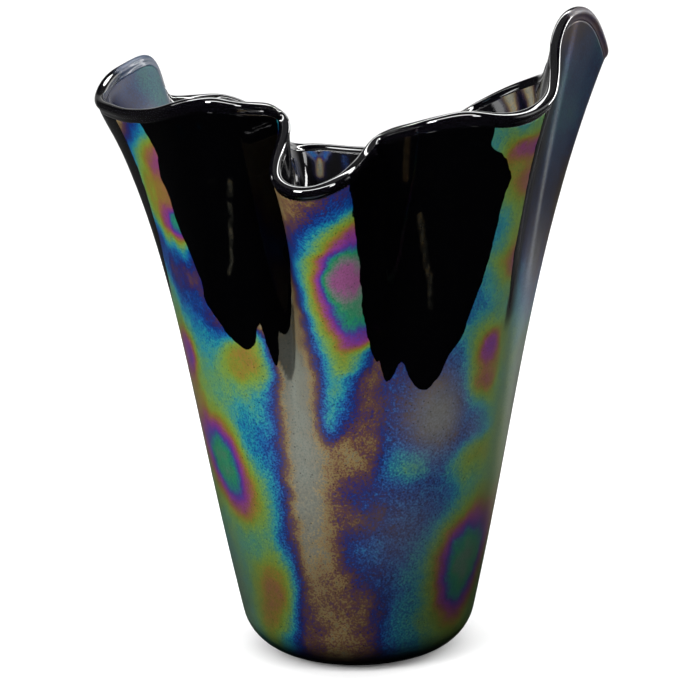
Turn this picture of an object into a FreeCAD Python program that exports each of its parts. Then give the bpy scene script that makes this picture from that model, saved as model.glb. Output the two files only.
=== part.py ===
"""Hand blown ruffled vase in black glass: four fused glass pieces, written one STEP file each.

Millimetres, +Z up. The origin is the centre of the ground foot, on the resting plane.
"""
import FreeCAD
import Part
import math
import os

# Foot and heel
FOOT_R = 27.0           # radius where the flat foot turns into the heel
KICK_R = 20.0           # inner radius of the flat foot ring
KICK_DEPTH = 3.0        # height of the hollow under the base
HEEL_R = 19.7           # radius of the rounded heel, outside
BASE = 7.0              # glass thickness at the foot ring

# Turned wall above the heel
WALL = 3.0              # glass thickness at the lip
THINNING = 25.0         # height over which the wall thins from BASE towards WALL
LEAN = 0.215            # outward run per unit of height at the heel
CURVE = -0.0003         # change of that lean with height

# Lustre casing, lip wrap and pontil button
CASING = 0.4            # thickness of the lustred skin on the outside
BAND = 4.6              # height of the black lip wrap above the casing
BEAD = 0.45             # how far the lip bead stands out on each side
BUTTON_R = 11.5         # radius of the glass button left by the pontil
BUTTON_GAP = 1.0        # clear flat round it
BUTTON_DEPTH = 2.0      # its thickness

# Ruffled lip
LIP_HEIGHT = 215.0      # height of the lip before it is ruffled
LIP_R = 95.0            # radius of the mouth before it is ruffled
# Ruffle: bearing from the front (degrees, + towards +X), how far out and how far up the lip moves
RUFFLE = [
    (-180, 12, -29), (-173, 11.5, -27.5), (-167, 7, -26.5), (-162, -2, -23), (-159, -11, -18.5),
    (-156.5, -15, -14), (-153.5, -12, -9), (-150.5, -4, -5), (-146, 1.5, -2.5), (-139, 2, -2),
    (-132.5, 0.5, -1.5), (-128, 0.8, -0.5), (-126.3, 1, 3), (-125, 1.3, 10), (-123, 1.5, 15.5),
    (-119, 0.5, 17), (-112, 0.5, 15), (-103, 0.5, 11.5), (-94, 1.5, 6.5), (-86, 0.5, 4.5), (-77, -2, 4),
    (-64, -3.5, 4), (-50, -2, 6), (-37, 3, 10.5), (-29, 4.5, 12), (-25, -0.5, 10.5), (-22.5, -8.5, 9.5),
    (-20.5, -15, 8.5), (-18.4, -18.5, 5.5), (-17.2, -16, 1), (-17, -9, -4.5), (-16.4, 1, -10.5),
    (-14.8, 7.5, -14.5), (-11.5, 12.5, -17), (-7, 14, -17), (-2.5, 8.5, -14), (0.5, -2.5, -11),
    (3.2, -14.5, -8.5), (7, -21, -3.5), (10.6, -17, -0.5), (13.5, -10, 1.5), (17.5, -2, 4), (24, 3, 6),
    (34, 2, 4), (44, -1.5, 5), (52, -3.5, 9.5), (57.5, -7, 17), (62.5, -10, 28), (69, -9.5, 35.5),
    (78, -6, 37), (86, -1.5, 31.5), (93.5, 3.5, 20), (99, 2.5, 18), (104, -3, 18.5), (109, -7, 17.5),
    (113, -7.5, 13), (117, -5.5, 8), (124, -2, 5.5), (136, 0, -0.5), (146, 0, -8), (151, -5, -13),
    (155, -13, -17), (159, -16, -20.5), (163, -11, -24), (167, -1, -27), (173, 8, -29),
]
LIP_ROUNDING = 2.5      # length over which the hot lip rounds its bends off
CALM = 45.0             # length over which the folds level out towards the base
FOLD_START = 0.16       # share of the wall's height where the folds begin
FOLD_EASE = 1.7         # how the folds grow towards the lip
FLARE_EASE = 4.0        # how the broad flare grows towards the lip
SHOULDER = (-103.0, 8.0, 4.0)   # bearing, half width (degrees) and swell of the shoulder under the lip

COLUMNS = 200           # control points round the wall
HEEL_ROWS = 7           # control rows up the heel; the casing starts at the fourth
WALL_ROWS = 20          # control rows up the wall

TILT = math.atan(LEAN)
HEEL_MID = HEEL_R - WALL / 2
Z_HEEL = HEEL_R - HEEL_MID * math.sin(TILT)
R_HEEL = FOOT_R + HEEL_MID * math.cos(TILT)


def place(bearing, radius, height):
    """Point at a bearing from the front, a radius from the axis and a height."""
    angle = math.radians(bearing)
    return FreeCAD.Vector(radius * math.sin(angle), -radius * math.cos(angle), height)


def blur(values, sigma):
    """Average a ring of numbers or vectors over a bell of the given width, in steps."""
    reach = int(3 * sigma) + 1
    bell = [math.exp(-0.5 * (k / sigma) ** 2) for k in range(-reach, reach + 1)]
    total = sum(bell)
    ring = []
    for i in range(len(values)):
        mix = values[i] * 0.0
        for k, share in enumerate(bell):
            mix = mix + values[(i + k - reach) % len(values)] * (share / total)
        ring.append(mix)
    return ring


def evenly(ring, count):
    """Points spaced evenly along a closed line, and the line's length."""
    run = [0.0]
    for i, point in enumerate(ring):
        run.append(run[-1] + (ring[(i + 1) % len(ring)] - point).Length)
    points = []
    i = 0
    for k in range(count):
        want = run[-1] * k / count
        while run[i + 1] < want:
            i += 1
        share = (want - run[i]) / (run[i + 1] - run[i])
        points.append(ring[i] * (1 - share) + ring[(i + 1) % len(ring)] * share)
    return points, run[-1]


def lip_line(count):
    """The centre line of the lip: a smooth closed curve through the stations, bends rounded."""
    marks = [place(bearing, LIP_R + out, LIP_HEIGHT + up) for bearing, out, up in RUFFLE]
    n = len(marks)
    step = [(marks[(i + 1) % n] - marks[i]).Length ** 0.5 for i in range(n)]
    fine = []
    for i in range(n):
        before, here, there, beyond = (marks[(i + k) % n] for k in (-1, 0, 1, 2))
        leave = (there - before) * (step[i] / (step[i - 1] + step[i]))
        arrive = (beyond - here) * (step[i] / (step[i] + step[(i + 1) % n]))
        for j in range(24):
            s = j / 24
            fine.append(here * (2 * s**3 - 3 * s**2 + 1) + leave * (s**3 - 2 * s**2 + s)
                        + there * (3 * s**2 - 2 * s**3) + arrive * (s**3 - s**2))
    ring, length = evenly(fine, 4 * count)
    return evenly(blur(ring, LIP_ROUNDING * 4 * count / length), count)


def turned(height):
    """Radius of the plain turned wall, at the middle of its thickness."""
    rise = height - Z_HEEL
    return R_HEEL + LEAN * rise + CURVE * rise**2


class Wall:
    """Middle surface of the glass: turned at the base, ruffled at the lip."""

    def __init__(self):
        lip, length = lip_line(COLUMNS)
        turns = [math.degrees(math.atan2(p.x, -p.y)) for p in lip]
        for i in range(1, COLUMNS):
            if turns[i] < turns[i - 1] - 180:
                turns[i] += 360
        level = [turns[0] + 360 * i / COLUMNS for i in range(COLUMNS)]
        width = CALM * COLUMNS / length
        drift = blur([a - b for a, b in zip(turns, level)], width)
        self.bearing = turns
        self.calm_bearing = [a + b for a, b in zip(level, drift)]
        self.height = [p.z for p in lip]
        self.mean = sum(self.height) / COLUMNS
        self.swing = [math.hypot(p.x, p.y) - turned(p.z) for p in lip]
        self.flare = blur(self.swing, width)

    def at(self, i, t):
        """Point on column i, at share t of the way from the top of the heel to the lip."""
        i %= COLUMNS
        z = Z_HEEL + (self.mean - Z_HEEL) * t + (self.height[i] - self.mean) * t**3
        bearing = self.calm_bearing[i] + (self.bearing[i] - self.calm_bearing[i]) * t**2
        grown = max(0.0, (t - FOLD_START) / (1 - FOLD_START))
        radius = turned(z) + self.flare[i] * grown**FLARE_EASE
        radius += (self.swing[i] - self.flare[i]) * grown**FOLD_EASE
        centre, half, swell = SHOULDER
        away = (bearing - centre + 180) % 360 - 180
        near_lip = max(0.0, (t - 0.9) / 0.1)
        radius += swell * math.exp(-0.5 * (away / half) ** 2) * math.sin(math.pi * near_lip**1.6)
        return place(bearing, radius, z)

    def band(self, i):
        """Share of the height where the lip wrap starts on column i."""
        return 1 - 0.02 * BAND / (self.at(i, 1.0) - self.at(i, 0.98)).Length

    def rows(self):
        """Grid of middle points, foot to band, one list for each row."""
        grid = []
        for k in range(HEEL_ROWS):
            angle = (math.pi / 2 - TILT) * k / HEEL_ROWS
            radius = FOOT_R + HEEL_MID * math.sin(angle)
            height = HEEL_R - HEEL_MID * math.cos(angle)
            grid.append([place(bearing, radius, height) for bearing in self.calm_bearing])
        for k in range(WALL_ROWS):
            share = 1 - (1 - k / (WALL_ROWS - 1)) ** 1.25
            grid.append([self.at(i, share * self.band(i)) for i in range(COLUMNS)])
        return grid


def outward(grid, row, i):
    """Unit normal of the middle surface, pointing out of the vase."""
    low = grid[max(row - 1, 0)][i]
    high = grid[min(row + 1, len(grid) - 1)][i]
    along = grid[row][(i + 1) % COLUMNS] - grid[row][i - 1]
    normal = along.cross(high - low) if row else FreeCAD.Vector(0, 0, -1)
    return normal.normalize()


def skin(grid, normals, depth):
    """The grid moved along its normals; depth may depend on the height."""
    moved = []
    for row, line in enumerate(grid):
        moved.append([p + normals[row][i] * depth(p.z) for i, p in enumerate(line)])
    return moved


def sheet(lines):
    """Closed spline surface over rows of control points."""
    count = len(lines)
    degree = min(3, count - 1)
    knots = list(range(count - degree + 1))
    mults = [degree + 1] + [1] * (len(knots) - 2) + [degree + 1]
    poles = [[line[i] for line in lines] for i in range(COLUMNS)]
    surface = Part.BSplineSurface()
    surface.buildFromPolesMultsKnots(
        poles, [1] * (COLUMNS + 1), mults, list(range(COLUMNS + 1)), knots, True, False, 3, degree)
    return surface.toShape()


def disc(line):
    """Flat face inside a level row of control points."""
    curve = Part.BSplineCurve()
    curve.buildFromPolesMultsKnots(line, [1] * (COLUMNS + 1), list(range(COLUMNS + 1)), True, 3)
    return Part.Face(Part.Wire(curve.toShape()))


def solid(faces):
    """Solid inside a closed set of faces."""
    shell = Part.makeShell(faces)
    shell.sewShape()
    body = Part.Solid(shell)
    if body.Volume < 0:
        body.reverse()
    return body


def turned_solid(edges):
    """Solid of revolution about the axis, from a closed profile in the XZ plane."""
    profile = Part.Face(Part.Wire(edges))
    return profile.revolve(FreeCAD.Vector(0, 0, 0), FreeCAD.Vector(0, 0, 1), 360)


def line(a, b):
    """Straight profile edge between two (radius, height) points."""
    return Part.makeLine(FreeCAD.Vector(a[0], 0, a[1]), FreeCAD.Vector(b[0], 0, b[1]))


def arc(a, b, c):
    """Curved profile edge through three (radius, height) points."""
    return Part.Arc(*(FreeCAD.Vector(r, 0, z) for r, z in (a, b, c))).toShape()


wall = Wall()
middle = wall.rows()
normals = [[outward(middle, row, i) for i in range(COLUMNS)] for row in range(len(middle))]
half = WALL / 2
outer = skin(middle, normals, lambda z: half)
under_casing = skin(middle, normals, lambda z: half - CASING)
inner = skin(middle, normals,
             lambda z: half - WALL - (BASE - WALL) * math.exp(-(z - half) / THINNING))

# Faces that neighbouring pieces share
START = 3
casing_back = sheet(under_casing[START:])
casing_hem = sheet([under_casing[START], outer[START]])
casing_top = sheet([under_casing[-1], outer[-1]])
core_top = sheet([inner[-1], under_casing[-1]])

# Black core: cavity, wall, heel and foot, with the hollow under the base cut away
core = solid([disc(outer[0]), sheet(outer[:START + 1]), casing_hem, casing_back, core_top,
              sheet(inner), disc(inner[0])])
FLAT_R = BUTTON_R + BUTTON_GAP
hollow = turned_solid([
    line((0, -1), (KICK_R, -1)),
    line((KICK_R, -1), (KICK_R, 0)),
    arc((KICK_R, 0), ((KICK_R + FLAT_R) / 2, 0.66 * KICK_DEPTH), (FLAT_R, KICK_DEPTH)),
    line((FLAT_R, KICK_DEPTH), (0, KICK_DEPTH)),
    line((0, KICK_DEPTH), (0, -1)),
])
black_core = core.cut(hollow)

# Lustre casing: the thin fumed skin on the outside, from the heel to the lip wrap
lustre_casing = solid([sheet(outer[START:]), casing_back, casing_hem, casing_top])

# Lip wrap: a trail of black glass melted on round the lip, with a rounded bead
section = [(half, 0), (half, 0.20 * BAND), (half + 0.1, 0.38 * BAND), (half + 1.3 * BEAD, 0.55 * BAND),
           (half + 1.1 * BEAD, 0.85 * BAND), (0.66 * half, 1.05 * BAND), (0, 1.07 * BAND)]
section += [(-side, rise) for side, rise in reversed(section[:-1])]
bead = []
for side, rise in section:
    ring = []
    for i in range(COLUMNS):
        top = middle[-1][i]
        up = (top - middle[-2][i]).normalize()
        ring.append(top + normals[-1][i] * side + up * rise)
    bead.append(ring)
bead[-1] = inner[-1]
lip_wrap = solid([sheet(bead), core_top, casing_top])

# Pontil button: the low wafer of glass left under the base
BUTTON_Z = KICK_DEPTH - BUTTON_DEPTH
pontil_button = turned_solid([
    arc((0, BUTTON_Z), (0.6 * BUTTON_R, BUTTON_Z + 0.25), (0.96 * BUTTON_R, BUTTON_Z + 1.1)),
    line((0.96 * BUTTON_R, BUTTON_Z + 1.1), (BUTTON_R, KICK_DEPTH)),
    line((BUTTON_R, KICK_DEPTH), (0, KICK_DEPTH)),
    line((0, KICK_DEPTH), (0, BUTTON_Z)),
])

os.makedirs("parts", exist_ok=True)
pieces = {
    "black_core": black_core,
    "lustre_casing": lustre_casing,
    "lip_wrap": lip_wrap,
    "pontil_button": pontil_button,
}
for name, shape in pieces.items():
    shape.exportStep(os.path.join("parts", name + ".step"))
    box = shape.BoundBox
    print(f"{name}: valid {shape.isValid()}, solids {len(shape.Solids)}, volume {shape.Volume / 1000:.1f} cm3,",
          f"x {box.XMin:.1f} {box.XMax:.1f}, y {box.YMin:.1f} {box.YMax:.1f}, z {box.ZMin:.2f} {box.ZMax:.2f}")
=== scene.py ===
import math
import bpy
import numpy as np
from mathutils import Matrix, Vector


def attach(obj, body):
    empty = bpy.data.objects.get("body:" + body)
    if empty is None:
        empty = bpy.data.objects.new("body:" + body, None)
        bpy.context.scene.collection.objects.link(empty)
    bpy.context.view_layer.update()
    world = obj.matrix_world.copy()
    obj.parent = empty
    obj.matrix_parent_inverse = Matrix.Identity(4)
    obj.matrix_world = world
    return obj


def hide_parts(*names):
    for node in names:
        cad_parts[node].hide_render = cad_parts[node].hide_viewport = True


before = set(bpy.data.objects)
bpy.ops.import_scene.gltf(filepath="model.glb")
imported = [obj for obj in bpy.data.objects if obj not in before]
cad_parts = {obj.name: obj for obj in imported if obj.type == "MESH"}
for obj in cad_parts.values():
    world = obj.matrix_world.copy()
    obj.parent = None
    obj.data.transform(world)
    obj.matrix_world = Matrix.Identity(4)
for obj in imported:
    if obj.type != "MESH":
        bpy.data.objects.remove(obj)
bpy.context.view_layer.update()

# ---------------------------------------------------------------------------------------------
# Black core. The bubble of opaque black glass that carries everything else: blown, turned to a
# tapering body with a rounded heel and a ground foot, then reheated at the mouth and let fall
# into folds. Its glass is 7 mm thick at the foot and 3 mm at the lip. All sizes are in mm.

MM = 0.001
FOOT_R = 27.0           # where the ground foot ends and the heel begins
KICK_R = 20.0           # where the ground foot ends and the hollow begins
KICK_DEPTH = 3.0        # depth of the hollow under the base
HEEL_R = 19.7           # rounding of the heel
BASE = 7.0              # glass at the foot
WALL = 3.0              # glass at the lip
THINNING = 25.0         # height over which the wall thins above the foot
LEAN = 0.215            # how far the wall leans out for each mm up
CURVE = -0.0003         # and how that falls off with height
CASING = 0.4
BAND = 4.6              # height of the lip wrap
BUTTON_R = 11.5
BUTTON_GAP = 1.0        # flat ring of the hollow round the pontil button
LIP_HEIGHT = 215.0      # the lip before it was ruffled
LIP_R = 95.0
# Ruffle: bearing from the front in degrees, then how far out and how far up the lip moves
RUFFLE = [
    (-180, 12, -29), (-173, 11.5, -27.5), (-167, 7, -26.5), (-162, -2, -23), (-159, -11, -18.5),
    (-156.5, -15, -14), (-153.5, -12, -9), (-150.5, -4, -5), (-146, 1.5, -2.5), (-139, 2, -2),
    (-132.5, 0.5, -1.5), (-128, 0.8, -0.5), (-126.3, 1, 3), (-125, 1.3, 10), (-123, 1.5, 15.5),
    (-119, 0.5, 17), (-112, 0.5, 15), (-103, 0.5, 11.5), (-94, 1.5, 6.5), (-86, 0.5, 4.5),
    (-77, -2, 4), (-64, -3.5, 4), (-50, -2, 6), (-37, 3, 10.5), (-29, 4.5, 12), (-25, -0.5, 10.5),
    (-22.5, -8.5, 9.5), (-20.5, -15, 8.5), (-18.4, -18.5, 5.5), (-17.2, -16, 1), (-17, -9, -4.5),
    (-16.4, 1, -10.5), (-14.8, 7.5, -14.5), (-11.5, 12.5, -17), (-7, 14, -17), (-2.5, 8.5, -14),
    (0.5, -2.5, -11), (3.2, -14.5, -8.5), (7, -21, -3.5), (10.6, -17, -0.5), (13.5, -10, 1.5),
    (17.5, -2, 4), (24, 3, 6), (34, 2, 4), (44, -1.5, 5), (52, -3.5, 9.5), (57.5, -7, 17),
    (62.5, -10, 28), (69, -9.5, 35.5), (78, -6, 37), (86, -1.5, 31.5), (93.5, 3.5, 20),
    (99, 2.5, 18), (104, -3, 18.5), (109, -7, 17.5), (113, -7.5, 13), (117, -5.5, 8),
    (124, -2, 5.5), (136, 0, -0.5), (146, 0, -8), (151, -5, -13), (155, -13, -17),
    (159, -16, -20.5), (163, -11, -24), (167, -1, -27), (173, 8, -29),
]
LIP_ROUNDING = 2.5      # how far along the lip the marks are eased into each other
CALM = 45.0             # how far along the lip the folds are averaged out for the body
FOLD_START = 0.16       # share of the height where the folds begin
FOLD_EASE = 1.7
FLARE_EASE = 4.0
SHOULDER = (-103.0, 8.0, 4.0)   # a bulge under the lip: bearing, half width in degrees, depth
COLUMNS = 880
HEEL_ROWS = 14
WALL_ROWS = 130
CROWDING = 1.25         # above 1, the rows crowd together towards the lip

TILT = math.atan(LEAN)
HEEL_MID = HEEL_R - WALL / 2
Z_HEEL = HEEL_R - HEEL_MID * math.sin(TILT)
R_HEEL = FOOT_R + HEEL_MID * math.cos(TILT)


def place(bearing, radius, height):
    """Points at bearings from the front, radii from the axis and heights."""
    angle = np.radians(bearing)
    right, forward = radius * np.sin(angle), radius * np.cos(angle)
    return np.stack(np.broadcast_arrays(right, -forward, height), axis=-1)


def blur(ring, sigma):
    """A closed ring of values averaged over a bell sigma steps wide."""
    wave = np.fft.rfftfreq(len(ring)) * 2 * math.pi * sigma
    bell = np.exp(-0.5 * wave**2)
    return np.fft.irfft(np.fft.rfft(ring, axis=0) * bell.reshape(-1, *[1] * (ring.ndim - 1)),
                        n=len(ring), axis=0)


def evenly(ring, count):
    """Points evenly spaced along a closed line, and its length."""
    closed = np.vstack([ring, ring[:1]])
    run = np.concatenate([[0.0], np.cumsum(np.linalg.norm(np.diff(closed, axis=0), axis=1))])
    want = run[-1] * np.arange(count) / count
    return np.stack([np.interp(want, run, closed[:, k]) for k in range(3)], axis=-1), run[-1]


def lip_line(count):
    """Centre line of the lip: a smooth closed curve through the ruffle's marks."""
    bearing, out, up = np.array(RUFFLE, dtype=float).T
    marks = place(bearing, LIP_R + out, LIP_HEIGHT + up)
    before, there, beyond = (np.roll(marks, -k, axis=0) for k in (-1, 1, 2))
    step = np.linalg.norm(there - marks, axis=1) ** 0.5
    leave = (there - before) * (step / (np.roll(step, 1) + step))[:, None]
    arrive = (beyond - marks) * (step / (step + np.roll(step, -1)))[:, None]
    s = (np.arange(24) / 24)[None, :, None]
    fine = (marks[:, None] * (2 * s**3 - 3 * s**2 + 1) + leave[:, None] * (s**3 - 2 * s**2 + s)
            + there[:, None] * (3 * s**2 - 2 * s**3) + arrive[:, None] * (s**3 - s**2))
    ring, length = evenly(fine.reshape(-1, 3), 2 * count)
    return evenly(blur(ring, LIP_ROUNDING * 2 * count / length), count)


def turned(height):
    """Radius of the plain turned wall at the middle of its glass."""
    rise = height - Z_HEEL
    return R_HEEL + LEAN * rise + CURVE * rise**2


lip, lip_length = lip_line(COLUMNS)
turns = np.degrees(np.unwrap(np.arctan2(lip[:, 0], -lip[:, 1])))
level = turns[0] + 360 * np.arange(COLUMNS) / COLUMNS
calm_turns = level + blur(turns - level, CALM * COLUMNS / lip_length)
swing = np.hypot(lip[:, 0], lip[:, 1]) - turned(lip[:, 2])
flare = blur(swing, CALM * COLUMNS / lip_length)
lip_mean = lip[:, 2].mean()


def wall_at(t):
    """Middle of the glass at share t of the height from heel to lip, one row for each t."""
    t = np.asarray(t, dtype=float)
    z = Z_HEEL + (lip_mean - Z_HEEL) * t + (lip[:, 2] - lip_mean) * t**3
    bearing = calm_turns + (turns - calm_turns) * t**2
    grown = np.clip((t - FOLD_START) / (1 - FOLD_START), 0, 1)
    radius = turned(z) + flare * grown**FLARE_EASE + (swing - flare) * grown**FOLD_EASE
    centre, half, swell = SHOULDER
    away = (bearing - centre + 180) % 360 - 180
    near_lip = np.clip((t - 0.9) / 0.1, 0, 1)
    radius = radius + swell * np.exp(-0.5 * (away / half) ** 2) * np.sin(math.pi * near_lip**1.6)
    return place(bearing, radius, z)


def outward(rows):
    """Unit normals of a grid of rows that climbs the wall."""
    along = np.roll(rows, -1, axis=1) - np.roll(rows, 1, axis=1)
    up = np.gradient(rows, axis=0)
    normal = np.cross(along, up)
    return normal / np.linalg.norm(normal, axis=-1, keepdims=True)


band_start = 1 - 0.02 * BAND / np.linalg.norm(wall_at([[1.0]]) - wall_at([[0.98]]), axis=-1)[0]
heel_angle = ((math.pi / 2 - TILT) * np.arange(HEEL_ROWS) / HEEL_ROWS)[:, None]
heel = place(calm_turns, FOOT_R + HEEL_MID * np.sin(heel_angle),
             HEEL_R - HEEL_MID * np.cos(heel_angle))
climb = 1 - (1 - np.arange(WALL_ROWS) / (WALL_ROWS - 1)) ** CROWDING
middle = np.concatenate([heel, wall_at(climb[:, None] * band_start)])
normal = outward(middle)
normal[0] = (0, 0, -1)
# Every second column is enough below the lip
body_middle, body_normal = middle[:, ::2], normal[:, ::2]
HALF = WALL / 2
depth = HALF - WALL - (BASE - WALL) * np.exp(-(body_middle[..., 2:] - HALF) / THINNING)
outer = body_middle + body_normal * HALF
under_casing = body_middle + body_normal * (HALF - CASING)
inner = body_middle + body_normal * depth
HEM = 6      # row where the casing starts


def ring_mesh(name, rings, poles=None):
    """Closed smooth mesh over rings of points in mm: a loop, or a stack that ends in two poles."""
    count, around = len(rings), rings[0].shape[0]
    points = np.concatenate(rings)
    i = np.arange(around)
    j = (i + 1) % around
    pairs = [(k, k + 1) for k in range(count - 1)] + ([] if poles else [(count - 1, 0)])
    faces = [np.stack([a * around + i, a * around + j, b * around + j, b * around + i], axis=1)
             for a, b in pairs]
    faces = np.concatenate(faces).tolist()
    if poles:
        first, last = len(points), len(points) + 1
        points = np.vstack([points, poles])
        faces += [(first, b, a) for a, b in zip(i.tolist(), j.tolist())]
        top = (count - 1) * around
        faces += [(last, top + a, top + b) for a, b in zip(i.tolist(), j.tolist())]
    mesh = bpy.data.meshes.new(name)
    mesh.from_pydata((points * MM).tolist(), [], faces)
    mesh.shade_smooth()
    mesh.update()
    piece = bpy.data.objects.new(name, mesh)
    bpy.context.scene.collection.objects.link(piece)
    return piece


def level_ring(radius, height):
    """A plain ring about the axis with the body's columns."""
    return place(calm_turns[::2], radius, height)


floor_inside = [level_ring(FOOT_R * s, BASE) for s in (0.12, 0.3, 0.5, 0.7, 0.88, 0.97)]
down_outside = [under_casing[k] for k in list(range(len(under_casing) - 1, HEM, -4)) + [HEM]]
foot_outside = [outer[k] for k in range(HEM, -1, -1)]
FLAT_R = BUTTON_R + BUTTON_GAP
# The ground ring, the rounded step and the flat top of the hollow
kick = [level_ring(r, z) for r, z in (
    (25.0, 0.0), (22.0, 0.0), (KICK_R, 0.0), (19.7, 0.35), (18.6, 1.2), (16.6, 2.0), (14.4, 2.65),
    (FLAT_R, KICK_DEPTH), (8.0, KICK_DEPTH), (3.0, KICK_DEPTH))]
core = ring_mesh("black_core_glass",
                 floor_inside + list(inner) + down_outside + foot_outside + kick,
                 poles=[(0, 0, BASE), (0, 0, KICK_DEPTH)])


def bearings_of(points):
    """Bearing from the front, in degrees, of each point."""
    return np.degrees(np.arctan2(points[:, 0], -points[:, 1]))


def mark(piece, name, values):
    """Store one number for each point of a piece, for its material to read."""
    layer = piece.data.attributes.new(name, "FLOAT", "POINT")
    layer.data.foreach_set("value", np.asarray(values, dtype=np.float32))


def points_of(piece):
    """The points of a piece, in mm."""
    flat = np.empty(3 * len(piece.data.vertices))
    piece.data.vertices.foreach_get("co", flat)
    return flat.reshape(-1, 3) / MM


def smooth(values, low, high):
    """0 below low, 1 above high and an even ease between."""
    share = np.clip((values - low) / (high - low), 0, 1)
    return share * share * (3 - 2 * share)


# Fume reaches over the lip on the flap at the back left; the pale grey patch on the tall peak's inner
# edge is a painted reflection:
# bearing, height, half widths in degrees and mm, film order, strength
INNER_FUME = [
    (-111, 224, 12, 14, 2.15, 0.9), (-119, 222, 6, 16, 3.1, 1.0), (-99, 228, 4, 12, 1.9, 0.3),
    (109, 228, 6, 16, 0.2, 1.3), (150, 120, 30, 26, 2.4, 0.5), (-160, 90, 26, 24, 2.0, 0.4)]
INNER_FILM = 2.0
core_points = points_of(core)
core_bearing, core_height = bearings_of(core_points), core_points[:, 2]
fume_satin_and_glint = np.zeros(len(core_points))
inner_film = np.full(len(core_points), INNER_FILM)
for bearing, height, across, tall, order, strength in INNER_FUME:
    away = ((core_bearing - bearing + 180) % 360 - 180) / across
    reach = np.exp(-0.5 * (away**2 + ((core_height - height) / tall) ** 2) ** 2) * strength
    inner_film += (order - inner_film) * np.clip(reach, 0, 1)
    fume_satin_and_glint = np.maximum(fume_satin_and_glint, reach)
# Painted highlights inside, drawn as bright runs of fume: the Y-shaped glint on the back wall seen
# through the notch and the cream glints inside the right wall. Bearings and heights along each, half
# width in mm, film order and strength
HIGHLIGHT_RUNS = [
    ([(191, 188), (188.2, 182.5)], 0.9, 2.6, 2.4), ([(184.6, 188), (187, 182.5)], 0.9, 2.6, 2.4),
    ([(187.8, 182), (188.2, 177)], 1.0, 0.3, 2.4), ([(181.5, 183), (181, 176)], 0.7, 2.3, 0.7),
    ([(195, 184), (195, 178)], 0.6, 2.2, 0.5),
    ([(137.5, 215), (133, 210.8), (129.5, 206)], 2.0, 0.6, 2.2),
    ([(129, 218), (125, 214.5), (121.5, 211), (115.5, 208)], 2.0, 0.6, 2.2)]
INNER_DEGREE = 1.5      # mm of inner wall to one degree of bearing, near the lip


def off_line(bearing, height, line, degree):
    """Distance in mm of each point from each straight stretch of a line on the wall."""
    here = np.stack([bearing * degree, height], axis=-1)
    corners = np.array(line) * (degree, 1)
    for a, b in zip(corners, corners[1:]):
        along = np.clip((here - a) @ (b - a) / ((b - a) @ (b - a)), 0, 1)
        yield np.linalg.norm(here - a - along[:, None] * (b - a), axis=1)


for line, half, order, strength in HIGHLIGHT_RUNS:
    for off in off_line(core_bearing % 360, core_height, line, INNER_DEGREE):
        reach = np.exp(-0.5 * (off / half) ** 2)
        inner_film += (order - inner_film) * reach
        fume_satin_and_glint = np.maximum(fume_satin_and_glint, reach * strength)
inside = np.zeros(len(core_points), dtype=bool)
inside[:(len(floor_inside) + len(inner)) * COLUMNS // 2] = True
# The satin mark carries the fume inside and the painted highlights
mark(core, "fume_satin_and_glint", np.where(inside, fume_satin_and_glint, 0))
mark(core, "film", inner_film)


def new_material(name):
    """A material with a bare Principled shader; returns it, its tree and the shader."""
    material = bpy.data.materials.new(name)
    material.use_nodes = True
    return material, material.node_tree, material.node_tree.nodes["Principled BSDF"]


def put(tree, kind, feeds=(), **settings):
    """Add a node, set its properties, and feed its inputs with sockets or values."""
    node = tree.nodes.new(kind)
    for key, value in settings.items():
        setattr(node, key, value)
    for key, value in dict(feeds).items():
        if isinstance(value, bpy.types.NodeSocket):
            tree.links.new(value, node.inputs[key])
        else:
            node.inputs[key].default_value = value
    return node


def maths(tree, operation, *values):
    """A Math node's result."""
    return put(tree, "ShaderNodeMath", enumerate(values), operation=operation).outputs[0]


def read(tree, name):
    """A number that was marked on the points of the piece."""
    return put(tree, "ShaderNodeAttribute", attribute_name=name).outputs["Fac"]


def object_place(tree):
    """Where a point lies on the piece, in metres."""
    return put(tree, "ShaderNodeTexCoord").outputs["Object"]


def noise(tree, scale, detail):
    """Cloudy noise through the glass."""
    return put(tree, "ShaderNodeTexNoise", {"Vector": object_place(tree), "Scale": scale,
                                            "Detail": detail}).outputs[0]


def eased(tree, value, low, high, first, last):
    """A number that runs from first to last while a value runs from low to high."""
    return put(tree, "ShaderNodeMapRange", {"Value": value, "From Min": low, "From Max": high,
                                            "To Min": first, "To Max": last}).outputs[0]


def raise_skin(tree, shader, height, distance, strength):
    """Lift the glass by a height, up to a distance in metres."""
    bump = put(tree, "ShaderNodeBump", {"Height": height, "Distance": distance, "Strength": strength})
    tree.links.new(bump.outputs[0], shader.inputs["Normal"])


def blend_colours(tree, share, first, second):
    """Two colours mixed by a share."""
    node = tree.nodes.new("ShaderNodeMix")
    node.data_type = "RGBA"
    for key, value in ((0, share), (6, first), (7, second)):
        if isinstance(value, bpy.types.NodeSocket):
            tree.links.new(value, node.inputs[key])
        else:
            node.inputs[key].default_value = value
    return node.outputs[2]


def new_group(name, inputs, outputs):
    """An empty shader node group with named number sockets; returns it and its two ends."""
    group = bpy.data.node_groups.new(name, "ShaderNodeTree")
    for label, value in inputs.items():
        socket = group.interface.new_socket(label, in_out="INPUT", socket_type="NodeSocketFloat")
        socket.default_value = value
    for label, kind in outputs.items():
        group.interface.new_socket(label, in_out="OUTPUT", socket_type=kind)
    return group, group.nodes.new("NodeGroupInput"), group.nodes.new("NodeGroupOutput")


def linear(red, green, blue):
    """Colour from 0 to 255 a channel as the eye sees it, in the numbers a shader wants."""
    return tuple(((c / 255 + 0.055) / 1.055) ** 2.4 if c > 10 else c / 255 / 12.92
                 for c in (red, green, blue)) + (1.0,)


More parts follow.
